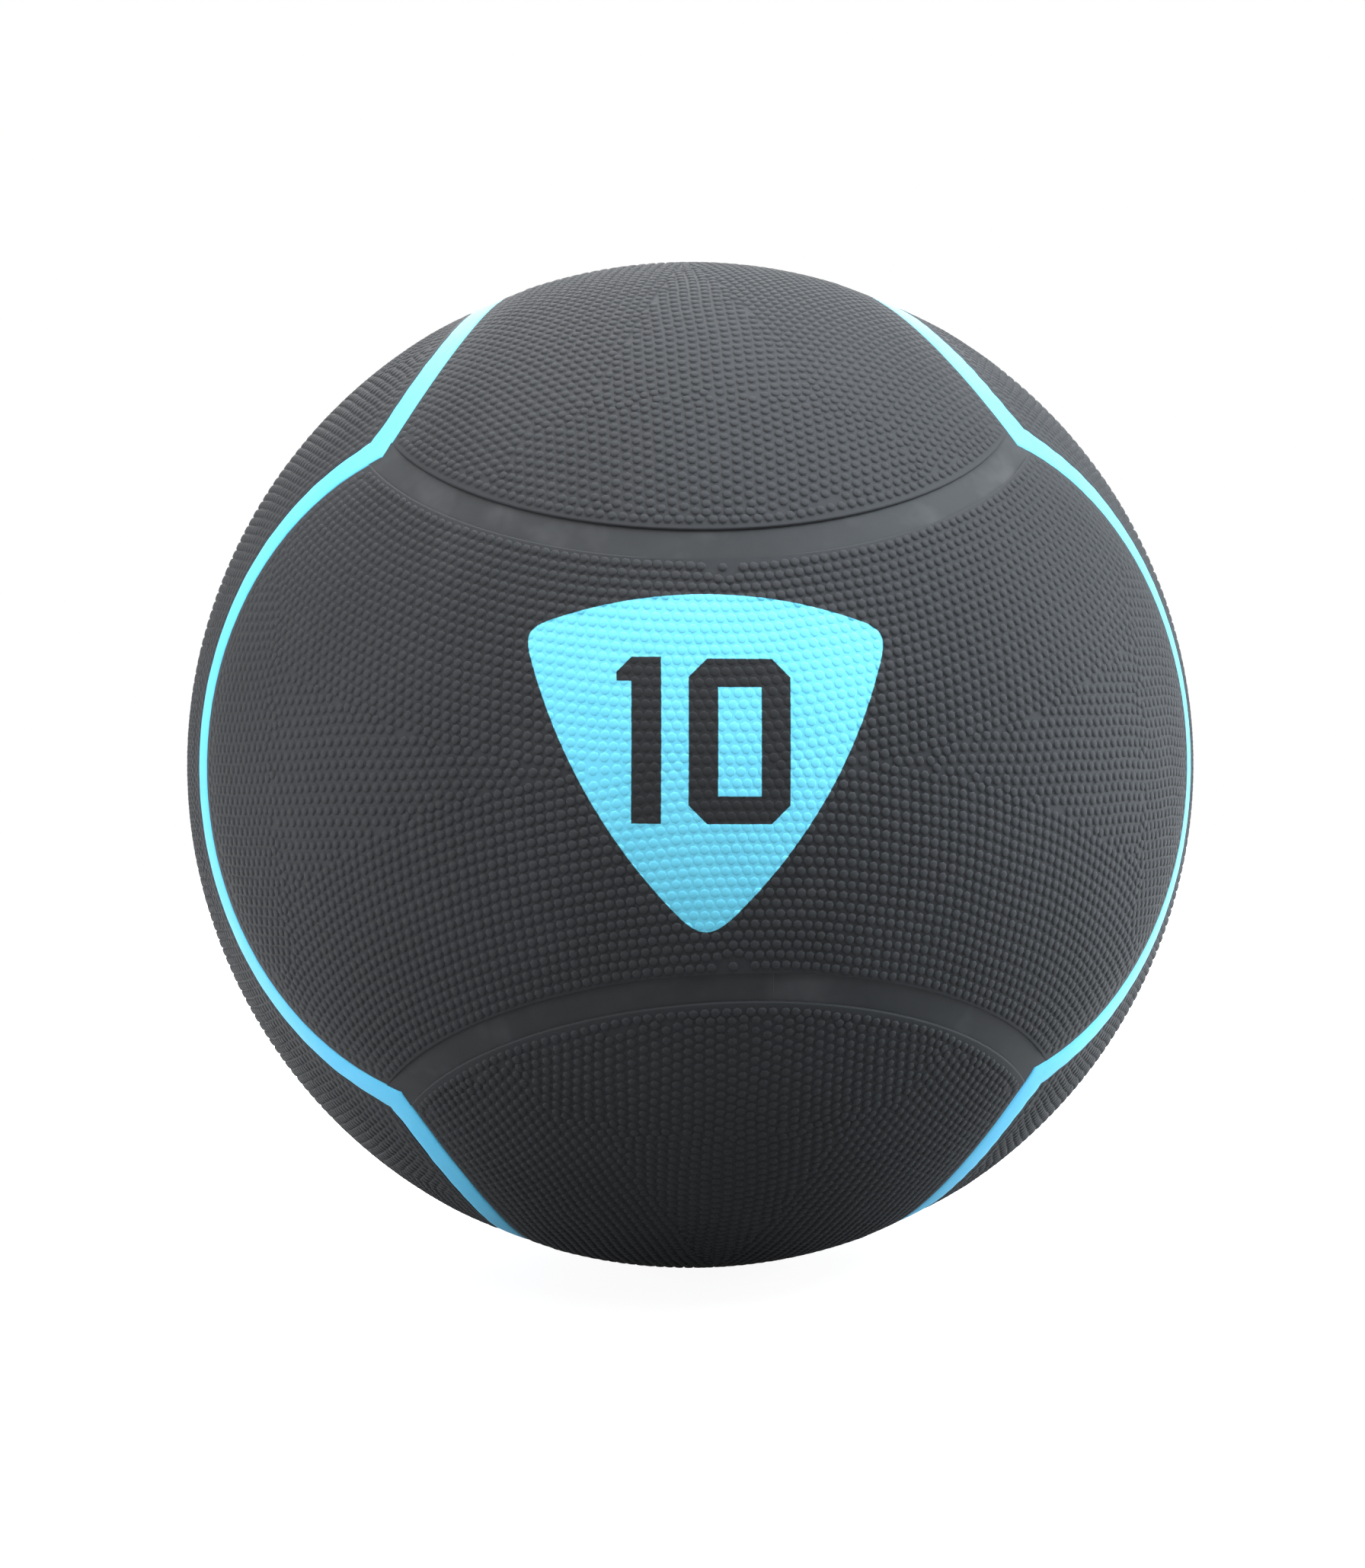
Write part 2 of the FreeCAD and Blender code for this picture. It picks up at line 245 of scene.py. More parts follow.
def turn_to(face, side):
    """Rotation that takes a piece from where the front panel lies to another place."""
    return (np.outer(face, FRONT) + np.outer(side, LEFT)
            + np.outer(np.cross(face, side), np.cross(FRONT, LEFT)))


# Places of the pebbles on the unit ball, as the front panel lies.

def on_ball(azimuth, height):
    """Unit points from angles round and above the front."""
    return np.stack([np.sin(azimuth) * np.cos(height), -np.cos(azimuth) * np.cos(height),
                     np.sin(height)], -1)


def mirrored(points, axis):
    flip = np.ones(3)
    flip[axis] = -1
    return points * flip


def edge_rows(half_hollow):
    """Rows that follow the top edge of a panel, down to where they would cross its middle."""
    rows = []
    step = COLUMN_PITCH / BALL_RADIUS
    count = int(ROW_REACH / step)
    first = EDGE_ANGLE + half_hollow + EDGE_MARGIN / BALL_RADIUS
    pitch = (LEAN - first) / (round((LEAN - first) * BALL_RADIUS / ROW_PITCH) - 0.5)
    for index, angle in enumerate(np.arange(first, ROWS_END, pitch)):
        place = np.arange(count, dtype=float)
        if index % 2:
            place += 0.5 * np.clip(1 - place / STAGGER_FADE, 0, 1)
        azimuth = place * step
        up, out = math.sin(LEAN), math.cos(LEAN) * np.cos(azimuth)
        height = np.arctan2(up, out) - np.arccos(math.cos(angle) / np.hypot(up, out))
        above_middle = height > 0.45 * pitch
        keep = above_middle & ((azimuth < SIDE_START) | (angle < SIDE_END))
        right = on_ball(azimuth[keep], height[keep])
        rows += [right, mirrored(right[0 if index % 2 else 1:], 0)]
    above = np.concatenate(rows)
    return np.concatenate([above, mirrored(above, 2)])


def level_rows(pitch, start, stop, clear, offset, lift=0.0):
    """Level rows between two angles round the panel, on both of its sides.

    They stay clear of the rows that follow the top and bottom edges. Each row is set off by a
    share of the spacing from the one below, and all are lifted by a share of the pitch.
    """
    rows = []
    limit = int(LEVEL_REACH / (pitch / BALL_RADIUS))
    for index in range(-limit, limit + 1):
        height = (index + lift) * pitch / BALL_RADIUS
        step = LEVEL_SPACING / (BALL_RADIUS * math.cos(height))
        azimuth = np.arange(start + ((offset * index + lift) % 1.0) * step, stop, step)
        rows.append(on_ball(azimuth, np.full_like(azimuth, height)))
    right = np.concatenate(rows)
    for way in (TOP, BOTTOM):
        right = right[right @ edge_circle(way, FRONT)[0] < math.cos(clear)]
    off_middle = right[:, 0] > 0.5 * EASY_SPACING / BALL_RADIUS
    return np.concatenate([right, mirrored(right[off_middle], 0)])


def rim_rows(half_lobe):
    """One row along each bulging edge."""
    margin = -half_lobe - LOBE_MARGIN / BALL_RADIUS
    start, end = panel_arcs(margin, -HALF_STRIPE - RIM_ROW_END, 2)[2]
    circle = edge_circle(FRONT, RIGHT, margin)
    length = 2 * math.asin(min(1.0, np.linalg.norm(end - start) / 2 / math.sin(circle[1])))
    count = int(length * math.sin(circle[1]) * BALL_RADIUS / COLUMN_PITCH)
    right = arc(circle, start, end, count)
    return np.concatenate([right, mirrored(right, 0)])


def margins(half_lobe, half_hollow):
    """Circles that pebbles keep within (way 1) or out of (way -1), each for one side of a panel."""
    lobe = half_lobe + (LOBE_MARGIN - MARGIN_SLACK) / BALL_RADIUS
    hollow = half_hollow + (EDGE_MARGIN - MARGIN_SLACK) / BALL_RADIUS
    return ([(*edge_circle(FRONT, side, -lobe), 1, side) for side in (LEFT, RIGHT)]
            + [(*edge_circle(side, FRONT, hollow), -1, side) for side in (TOP, BOTTOM)])


def overrun(points, circle):
    """How far points lie beyond a margin."""
    axis, angle, way, side = circle
    beyond = np.clip(way * (math.cos(angle) - points @ axis), 0, MOST_OVERRUN)
    return np.where(points @ side > 0, beyond, 0)


def pushed_apart(points, circles):
    """Crowded pebbles move apart into the bare spots beside them."""
    one, other = np.nonzero(np.triu(points @ points.T > math.cos(PUSH_REACH / BALL_RADIUS), 1))
    for _ in range(PUSH_ROUNDS):
        apart = points[one] - points[other]
        gap = np.linalg.norm(apart, axis=1)[:, None]
        push = apart / gap * np.clip(EASY_SPACING / BALL_RADIUS - gap, 0, None) * PUSH_SHARE
        moved = points.copy()
        np.add.at(moved, one, push)
        np.add.at(moved, other, -push)
        points = unit(moved)
        for circle in circles:
            axis, way = circle[0], circle[2]
            height = (points @ axis)[:, None]
            back = way * overrun(points, circle)[:, None] / (1 - height * height)
            points = unit(points + back * (axis - points * height))
    return points


def wander(points):
    """Slow drift of the rows, as in a mould cut by hand."""
    drift = np.zeros_like(points)
    for _ in range(ROW_WAVES):
        way, push = unit(random.normal(size=3)), unit(random.normal(size=3))
        length = random.uniform(*ROW_WAVE_LENGTHS) / BALL_RADIUS
        wave = np.sin(points @ way * (2 * math.pi / length) + random.uniform(0, 6.28))
        drift += wave[:, None] * push * (ROW_DRIFT / BALL_RADIUS)
    return drift


def pebble_places(half_lobe, half_hollow):
    """Middles of a panel's pebbles: the blocks of rows, then what fits in between."""
    half_row = 0.5 * ROW_PITCH / BALL_RADIUS
    circles = margins(half_lobe, half_hollow)
    groups = [rim_rows(half_lobe), edge_rows(half_hollow),
              level_rows(SIDE_PITCH, SIDE_START - SIDE_OVERLAP, PANEL_REACH, SIDE_END, offset=0.5),
              level_rows(WEDGE_PITCH, 0.0, SIDE_START, ROWS_END - half_row, offset=0.27)]
    for lift in (0.0, 0.5, 0.25, 0.75):
        groups.append(level_rows(FILL_PITCH, 0.0, PANEL_REACH, 0.0, offset=0.5, lift=lift))
    kept = np.empty((0, 3))
    for group in groups:
        for circle in circles:
            group = group[overrun(group, circle) == 0]
        if len(kept):
            tree = KDTree(len(kept))
            for index, point in enumerate(kept):
                tree.insert(point, index)
            tree.balance()
            clear = LEAST_SPACING / BALL_RADIUS
            group = group[[tree.find(point)[2] > clear for point in group]]
        kept = np.concatenate([kept, group])
    kept = pushed_apart(kept, circles)
    return unit(kept + wander(kept) + random.normal(0, PEBBLE_SCATTER / BALL_RADIUS, kept.shape))


def pebble_heights(places, half_lobe, half_hollow):
    """Pebbles lie lower in the last rows before a stripe."""
    share = np.ones(len(places))
    low, growth = LOW_PEBBLES
    for axis, angle, way, side in margins(half_lobe, half_hollow):
        if (half_lobe if way > 0 else half_hollow) == HALF_STRIPE:
            inward = way * (angle - np.arccos(places @ axis)) * BALL_RADIUS
            beside = np.where(places @ side > LEAST_LEAN, low + (1 - low) * inward / growth, 1)
            share = np.minimum(share, np.clip(beside, low, 1))
    return PEBBLE_HEIGHT * share


# Meshes.

def net_faces(rows, columns, closed=False):
    """Two triangles in each square of a net; closed rows come back to their start."""
    index = np.arange(rows * columns).reshape(rows, columns)
    if closed:
        index = np.concatenate([index, index[:, :1]], 1)
    a, b, c, d = index[:-1, :-1], index[:-1, 1:], index[1:, 1:], index[1:, :-1]
    return np.stack([a, b, c, a, c, d], -1)


class Skin:
    """Points, normals and triangles of one piece, in mm until it is made."""

    def __init__(self):
        self.points, self.normals, self.faces, self.count = [], [], [], 0

    def add(self, points, normals, faces):
        points, normals = points.reshape(-1, 3), normals.reshape(-1, 3)
        self.points.append(points)
        self.normals.append(unit(normals))
        self.faces.append(faces.reshape(-1, 3) + self.count)
        self.count += len(points)

    def net(self, rows, normals, closed=False):
        """Rows of points joined to each other."""
        points = np.array(rows)
        self.add(points, np.array(normals), net_faces(*points.shape[:2], closed))

    def make(self, name, turn=None):
        """The finished object, turned from where the front panel lies."""
        points, normals = np.concatenate(self.points), np.concatenate(self.normals)
        faces = np.concatenate(self.faces)
        if turn is not None:
            points, normals = points @ turn.T, normals @ turn.T
        corners = points[faces]
        facing = np.cross(corners[:, 1] - corners[:, 0], corners[:, 2] - corners[:, 0])
        back = (facing * normals[faces].sum(1)).sum(1) < 0
        faces[back] = faces[back][:, ::-1]
        mesh = bpy.data.meshes.new(name)
        mesh.vertices.add(len(points))
        mesh.vertices.foreach_set("co", (points * MM).ravel())
        mesh.loops.add(faces.size)
        mesh.loops.foreach_set("vertex_index", faces.ravel())
        mesh.polygons.add(len(faces))
        mesh.polygons.foreach_set("loop_start", np.arange(0, faces.size, 3))
        mesh.polygons.foreach_set("use_smooth", np.ones(len(faces), dtype=bool))
        mesh.update(calc_edges=True)
        mesh.normals_split_custom_set_from_vertices(normals)
        piece = bpy.data.objects.new(name, mesh)
        bpy.context.scene.collection.objects.link(piece)
        return piece


def pebble_faces():
    """Triangles of one pebble, the fan round its crest first, and the number of its points."""
    here = np.arange(PEBBLE_SIDES)
    beside = (here + 1) % PEBBLE_SIDES
    crest = PEBBLE_SIDES * len(PEBBLE_PROFILE)
    last = crest - PEBBLE_SIDES
    faces = [np.stack([here + last, beside + last, np.full(PEBBLE_SIDES, crest)], -1)]
    for foot in range(0, last, PEBBLE_SIDES):
        a, b = foot + here, foot + beside
        c, d = b + PEBBLE_SIDES, a + PEBBLE_SIDES
        faces += [np.stack([a, b, c], -1), np.stack([a, c, d], -1)]
    return np.concatenate(faces), crest + 1


def add_pebbles(skin, places, base_radius, height):
    """Round domes with soft feet and broad crests; lower ones have gentler sides."""
    count = len(places)
    along = unit(np.cross(places, ASKEW))
    across = np.cross(places, along)
    turn = (np.arange(PEBBLE_SIDES) + random.uniform(size=(count, 1))) * 2 * math.pi / PEBBLE_SIDES
    out = along[:, None] * np.cos(turn)[..., None] + across[:, None] * np.sin(turn)[..., None]
    up = places[:, None]
    size = PEBBLE_RADIUS * (1 + random.normal(0, RADIUS_SPREAD, (count, 1, 1)))
    height = np.reshape(height, (-1, 1, 1))
    steepness = (height / PEBBLE_HEIGHT) ** LOW_PEBBLE_SLOPE
    rise = height * (1 - np.abs(random.normal(0, HEIGHT_SPREAD, (count, 1, 1))))
    points, normals = [], []
    for reach, share, tilt in PEBBLE_PROFILE:
        points.append(up * (base_radius + rise * share) + out * size * reach)
        normals.append(up * np.cos(tilt * steepness) + out * np.sin(tilt * steepness))
    points.append(up * (base_radius + rise))
    normals.append(up)
    faces, pebble_points = pebble_faces()
    faces = faces + pebble_points * np.arange(count)[:, None, None]
    skin.add(np.concatenate(points, 1), np.concatenate(normals, 1), faces)


def add_panel(skin, half_lobe, half_hollow, hole=0.0):
    """A panel's bare skin and rolled rim, with a round hole in its middle where it has one."""
    inset = RIM[0][0] / BALL_RADIUS
    field = panel_field(-half_lobe - inset, -half_hollow - inset, EDGE_POINTS).reshape(-1, 3)
    squares = net_faces(EDGE_POINTS, EDGE_POINTS).reshape(-1, 6)
    if hole:
        middles = field[squares].mean(1)
        squares = squares[middles @ FRONT < math.cos(hole / BALL_RADIUS)]
    skin.add(field * SKIN_RADIUS, field, squares)
    rings, tilts = [], []
    for step, radius, tilt in RIM:
        step = step / BALL_RADIUS
        ring = panel_ring(-half_lobe - step, -half_hollow - step, EDGE_POINTS)
        rings.append(ring * radius)
        tilts.append(ring * math.cos(tilt) + outward(ring) * math.sin(tilt))
    skin.net(rings, tilts, closed=True)


def add_valve_pad(skin):
    """Smooth round pad with a rolled edge and the hole for the valve's neck."""
    turn = np.linspace(0, 2 * math.pi, PAD_SIDES, endpoint=False)[:, None]
    out = LEFT * np.cos(turn) + TOP * np.sin(turn)
    rings, tilts = [], []
    for reach, rise, tilt in PAD_PROFILE:
        angle = reach / BALL_RADIUS
        up = FRONT * math.cos(angle) + out * math.sin(angle)
        rings.append(up * (SKIN_RADIUS + rise))
        tilts.append(up * math.cos(tilt) + out * math.sin(tilt))
    skin.net(rings, tilts, closed=True)


# Outlines of the badge and its numerals, as distances that are below nought inside. They take
# numbers for the meshes and a material's values for the print.

def larger(a, b):
    return a.larger(b) if isinstance(a, Value) else np.maximum(a, b)


def smaller(a, b):
    return a.smaller(b) if isinstance(a, Value) else np.minimum(a, b)


def distance(a, b):
    squares = a * a + b * b
    return squares.root() if isinstance(squares, Value) else np.sqrt(squares)


def smooth_larger(a, b, blend):
    """The larger of two distances, rounded off where they are nearly the same."""
    gap = larger((blend - abs(a - b)) / blend, 0.0)
    return larger(a, b) + gap * gap * gap * (blend / 6)


def bow_circle(start, end, bow):
    """Middle and radius of the arc that bows out to the left of a chord."""
    (x0, y0), (x1, y1) = start, end
    half = math.hypot(x1 - x0, y1 - y0) / 2
    radius = (half * half + bow * bow) / (2 * bow)
    left_x, left_y = -(y1 - y0) / (2 * half), (x1 - x0) / (2 * half)
    back = radius - bow
    return (x0 + x1) / 2 - left_x * back, (y0 + y1) / 2 - left_y * back, radius


def badge_coordinates(x, z):
    """Across and up the badge, from across and up the ball."""
    x = x - BADGE_SHIFT
    cos, sin = math.cos(BADGE_TILT), math.sin(BADGE_TILT)
    return x * cos - z * sin, x * sin + z * cos


def ball_coordinates(across, up):
    """Across and up the ball, from across and up the badge."""
    cos, sin = math.cos(BADGE_TILT), math.sin(BADGE_TILT)
    return across * cos + up * sin + BADGE_SHIFT, up * cos - across * sin


def badge_edge(across, up):
    """The badge: a shield of three bowed sides with rounded corners."""
    corner = BADGE_HALF_WIDTH, BADGE_SHOULDER
    top_x, top_y, top = bow_circle((-corner[0], corner[1]), corner, BADGE_TOP_BOW)
    over = distance(across - top_x, up - top_y) - top
    side_x, side_y, side = bow_circle(corner, (0.0, -BADGE_TIP), BADGE_SIDE_BOW)
    right = distance(across - side_x, up - side_y) - side
    left = distance(across + side_x, up - side_y) - side
    return smooth_larger(smooth_larger(left, right, BADGE_TIP_BLEND), over, BADGE_CORNER_BLEND)


def box_sides(across, up, left, right, low, high):
    """Distances to the upright and the level sides of a box."""
    return (abs(across - (left + right) / 2) - (right - left) / 2,
            abs(up - (low + high) / 2) - (high - low) / 2)


def digits_edge(across, up):
    """The numerals: a stem with a slanted flag, and a box with clipped corners round another."""
    stem = larger(*box_sides(across, up, *ONE_STEM))
    flag = larger(larger(*box_sides(across, up, *ONE_FLAG)), (up - across - ONE_FLAG_CUT) * SLANT)
    upright, level = box_sides(across, up, *ZERO_OUTSIDE)
    outside = larger(larger(upright, level), (upright + level + ZERO_CLIP) * SLANT)
    ring = larger(outside, -larger(*box_sides(across, up, *ZERO_INSIDE)))
    return smaller(smaller(stem, flag), ring)


# Materials.

class Value:
    """A number in a material, for writing its maths as plain sums."""

    def __init__(self, tree, socket):
        self.tree, self.socket = tree, socket

    def worked_out(self, operation, *values):
        """The result of a Math node."""
        node = self.tree.node("ShaderNodeMath", {"operation": operation}, dict(enumerate(values)))
        return Value(self.tree, node.outputs[0])

    def __add__(self, other):
        return self.worked_out("ADD", self, other)

    def __sub__(self, other):
        return self.worked_out("SUBTRACT", self, other)

    def __rsub__(self, other):
        return self.worked_out("SUBTRACT", other, self)

    def __mul__(self, other):
        return self.worked_out("MULTIPLY", self, other)

    def __truediv__(self, other):
        return self.worked_out("DIVIDE", self, other)

    def __rtruediv__(self, other):
        return self.worked_out("DIVIDE", other, self)

    __radd__, __rmul__ = __add__, __mul__

    def __neg__(self):
        return self.worked_out("MULTIPLY", self, -1.0)

    def __abs__(self):
        return self.worked_out("ABSOLUTE", self)

    def root(self):
        return self.worked_out("SQRT", self)

    def larger(self, other):
        return self.worked_out("MAXIMUM", self, other)

    def smaller(self, other):
        return self.worked_out("MINIMUM", self, other)

    def clamped(self):
        return self.larger(0.0).smaller(1.0)

    def beyond(self, start, gain):
        """0 up to a start, then rising gain times as fast, to 1 at most."""
        return ((self - start) * gain).clamped()


class NodeTree:
    """Nodes of a material or of the studio round the ball."""

    def __init__(self, owner):
        owner.use_nodes = True
        self.nodes, self.links = owner.node_tree.nodes, owner.node_tree.links

    def node(self, kind, settings=None, values=None):
        """A new node, its settings made first, then the values or links of its sockets."""
        node = self.nodes.new(kind)
        for key, value in (settings or {}).items():
            setattr(node, key, value)
        for key, value in (values or {}).items():
            self.fill(node.inputs[key], value)
        return node

    def fill(self, socket, value):
        if isinstance(value, Value):
            value = value.socket
        if isinstance(value, bpy.types.NodeSocket):
            self.links.new(value, socket)
        else:
            socket.default_value = value

    def backdrop_rays(self):
        """Two masks: 1 for what the camera sees, and 1 for what the ball mirrors or lets through."""
        rays = self.node("ShaderNodeLightPath").outputs
        return (Value(self, rays["Is Camera Ray"]),
                Value(self, rays["Is Glossy Ray"]).larger(rays["Is Transmission Ray"]))


class Paint(NodeTree):
    """One material."""

    def __init__(self, name, **constants):
        self.material = bpy.data.materials.new(name)
        super().__init__(self.material)
        self.surface = self.nodes["Principled BSDF"]
        self.place = self.node("ShaderNodeTexCoord").outputs["Object"]
        for socket, value in constants.items():
            self.surface.inputs[socket.replace("_", " ")].default_value = value

    def set(self, **values):
        """Values or links of the surface's sockets."""
        for socket, value in values.items():
            self.fill(self.surface.inputs[socket.replace("_", " ")], value)

    def coordinates(self):
        """Across, behind and above the ball's middle."""
        node = self.node("ShaderNodeSeparateXYZ", {}, {0: self.place})
        return [Value(self, socket) * (1 / MM) for socket in node.outputs]

    def noise(self, size, detail=2.0, roughness=0.5):
        """Even noise from 0 to 1, its grain given in mm."""
        values = {"Vector": self.place, "Scale": 1 / (size * MM), "Detail": detail,
                  "Roughness": roughness}
        return Value(self, self.node("ShaderNodeTexNoise", {}, values).outputs["Fac"])

    def specks(self, spacing, size, cover, gain):
        """1 in small round specks, left out where a noise with a grain of cover is low."""
        values = {"Vector": self.place, "Scale": 1 / (spacing * MM)}
        distances = Value(self, self.node("ShaderNodeTexVoronoi", {}, values).outputs["Distance"])
        return ((size / spacing - distances) * 12.0).clamped() * self.noise(cover).beyond(0.5, gain)

    def mix(self, share, one, other):
        """Colour one where share is 0, other where it is 1."""
        node = self.node("ShaderNodeMix", {"data_type": "RGBA"}, {0: share, 6: one, 7: other})
        return node.outputs[2]

    def bump(self, height, depth):
        """Relief from a value of 0 to 1, its depth in mm."""
        node = self.node("ShaderNodeBump", {}, {"Height": height, "Distance": depth * MM})
        self.links.new(node.outputs[0], self.surface.inputs["Normal"])


def colour(red, green, blue):
    return (red, green, blue, 1.0)


RUBBER_GLOSS = 0.16
RUBBER_BLACK = colour(0.0275, 0.029, 0.0318)
RUBBER_WORN = colour(0.048, 0.0502, 0.0548)
RUBBER_SCUFF = colour(0.09, 0.09, 0.092)
DUST = colour(0.32, 0.33, 0.34)
NUMERAL_BLACK = colour(0.019, 0.020, 0.022)
CHANNEL_BLACK = colour(0.029, 0.031, 0.0335)
CHANNEL_WORN = colour(0.045, 0.047, 0.050)
CHANNEL_SMUDGE = colour(0.09, 0.09, 0.095)
CHANNEL_SEAM = colour(0.08, 0.08, 0.085)
BADGE_BLUE = colour(0.17, 0.67, 0.88)
BADGE_BLUE_DEEP = colour(0.13, 0.58, 0.80)
BADGE_FLAW = colour(0.05, 0.16, 0.2)
STRIPE_GLOSS = 0.14
STRIPE_BLUE = colour(0.15, 0.66, 1.0)
STRIPE_BLUE_DEEP = colour(0.11, 0.60, 0.96)
STRIPE_FLAW = colour(0.04, 0.13, 0.17)
YARN_SHADE = colour(0.38, 0.34, 0.27)
YARN = colour(0.74, 0.71, 0.62)


def rubber(paint):
    """Colour, roughness and grain of the moulded grip: cloudy, a little scuffed and dusty."""
    cloud = paint.noise(38, 3.0)
    grain = paint.noise(0.9, 2.0, 0.6)
    share = ((cloud - 0.3) * 0.9 + (grain - 0.5) * 0.5).clamped()
    shade = paint.mix(share, RUBBER_BLACK, RUBBER_WORN)
    scuff = paint.noise(21, 5.0, 0.65).beyond(0.60, 5.0) * (grain * 0.8)
    shade = paint.mix(scuff * 0.35, shade, RUBBER_SCUFF)
    shade = paint.mix(paint.specks(9.0, 0.26, 23, 9.0) * 0.8, shade, DUST)
    return shade, 0.64 + (cloud - 0.5) * 0.14 + (grain - 0.5) * 0.14, grain


def grip_rubber():
    paint = Paint("grip_rubber", Specular_IOR_Level=RUBBER_GLOSS)
    shade, rough, grain = rubber(paint)
    paint.set(Base_Color=shade, Roughness=rough)
    paint.bump(grain, 0.03)
    return paint.material


def printed_rubber():
    """Grip rubber with the blue badge printed over its pebbles, round numerals of plain black."""
    paint = Paint("badge_blue", Specular_IOR_Level=RUBBER_GLOSS)
    shade, rough, grain = rubber(paint)
    x, y, z = paint.coordinates()
    across, up = badge_coordinates(x, z)
    ragged = (paint.noise(1.1, 2.0) - 0.5) * PRINT_RAGGEDNESS
    inside = (0.5 - (badge_edge(across, up) + ragged) / PRINT_SOFTNESS).clamped()
    bare = (0.5 - (digits_edge(across, up) + ragged) / PRINT_SOFTNESS).clamped()
    on_front = (0.5 - y * 0.1).clamped()
    printed = inside * (1.0 - bare) * on_front
    shade = paint.mix(inside * bare, shade, NUMERAL_BLACK)
    blue = paint.mix(paint.noise(14, 3.0).beyond(0.3, 1.2), BADGE_BLUE, BADGE_BLUE_DEEP)
    blue = paint.mix(paint.specks(7.0, 0.22, 17, 6.0) * 0.8, blue, BADGE_FLAW)
    paint.set(Base_Color=paint.mix(printed, shade, blue),
              Roughness=rough * (1.0 - printed) + printed * 0.42)
    paint.bump(grain, 0.02)
    return paint.material


def channel_rubber():
    """Smooth rubber with faint smudges and the mould's seam."""
    paint = Paint("channel_rubber", Specular_IOR_Level=RUBBER_GLOSS)
    cloud = paint.noise(9, 4.0, 0.6)
    smudge = paint.noise(16, 3.0, 0.55).beyond(0.52, 5.0)
    shade = paint.mix(cloud.beyond(0.3, 1.5), CHANNEL_BLACK, CHANNEL_WORN)
    shade = paint.mix(smudge * 0.35, shade, CHANNEL_SMUDGE)
    x, y, z = paint.coordinates()
    on_front_bottom = (0.5 - y).clamped() * (0.5 - z).clamped()
    seam = ((SEAM_HALF_WIDTH - abs(x - SEAM_PLACE)) * 12.0).clamped() * on_front_bottom
    paint.set(Base_Color=paint.mix(seam * 0.3, shade, CHANNEL_SEAM),
              Roughness=0.62 + (cloud - 0.5) * 0.2 - smudge * 0.05)
    paint.bump(paint.noise(0.5, 2.0) * 0.1 + seam, 0.12)
    return paint.material


def stripe_paint():
    """Matt blue paint, a little uneven, with a few dark flaws."""
    paint = Paint("stripe_blue", Specular_IOR_Level=STRIPE_GLOSS)
    blue = paint.mix(paint.noise(11, 3.0).beyond(0.3, 1.4), STRIPE_BLUE, STRIPE_BLUE_DEEP)
    flaws = paint.specks(8.0, 0.22, 19, 8.0) * 0.7
    grain = paint.noise(1.3, 3.0)
    paint.set(Base_Color=paint.mix(flaws, blue, STRIPE_FLAW), Roughness=0.48 + (grain - 0.5) * 0.2)
    paint.bump(grain, 0.03)
    return paint.material


def plain_rubber(name, dark, light, rough, size):
    """Mottled rubber of an inner layer."""
    paint = Paint(name)
    cloud = paint.noise(size, 4.0, 0.6)
    grain = paint.noise(0.8, 2.0)
    paint.set(Base_Color=paint.mix(cloud.beyond(0.3, 2.0), dark, light),
              Roughness=rough + (grain - 0.5) * 0.2)
    paint.bump(grain * 0.5 + cloud * 0.5, 0.08)
    return paint.material


def yarn_winding():
    """Nylon yarn wound round the carcass in many crossing turns."""
    paint = Paint("nylon_winding", Sheen_Weight=0.3)
    layers = []
    for turn in ((0.4, 0.2, 0.0), (1.2, 0.9, 0.3), (2.2, 0.1, 1.4)):
        turned = paint.node("ShaderNodeVectorRotate", {"rotation_type": "EULER_XYZ"},
                            {"Vector": paint.place, "Rotation": turn}).outputs[0]
        values = {"Vector": turned, "Scale": 250.0, "Distortion": 1.5, "Detail": 2.0, "Detail Scale": 0.6}
        layers.append(Value(paint, paint.node("ShaderNodeTexWave", {}, values).outputs["Fac"]))
    weave = layers[0].larger(layers[1]).larger(layers[2])
    paint.set(Base_Color=paint.mix(weave, YARN_SHADE, YARN),
              Roughness=0.7 + (paint.noise(4) - 0.5) * 0.2)
    paint.bump(weave, 0.25)
    return paint.material


# Pieces of the cover.

def finish_piece(piece, material, node):
    piece.data.materials.append(material)
    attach(piece, "root")
    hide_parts(node)


def make_panel(side, pebbles, material):
    """A cover panel with its grip, and the valve pad on the back one."""
    panel = Skin()
    add_panel(panel, *HALF_GAPS[side], hole=PANEL_HOLE if side == "back" else 0.0)
    if side == "back":
        add_valve_pad(panel)
        pebbles = pebbles[pebbles @ FRONT < math.cos((PAD_RADIUS + PAD_CLEARANCE) / BALL_RADIUS)]
    add_pebbles(panel, pebbles, SKIN_RADIUS, pebble_heights(pebbles, *HALF_GAPS[side]))
    piece = panel.make(side + "_grip_panel", turn_to(*PLACES[side]))
    finish_piece(piece, material, side + "_panel")


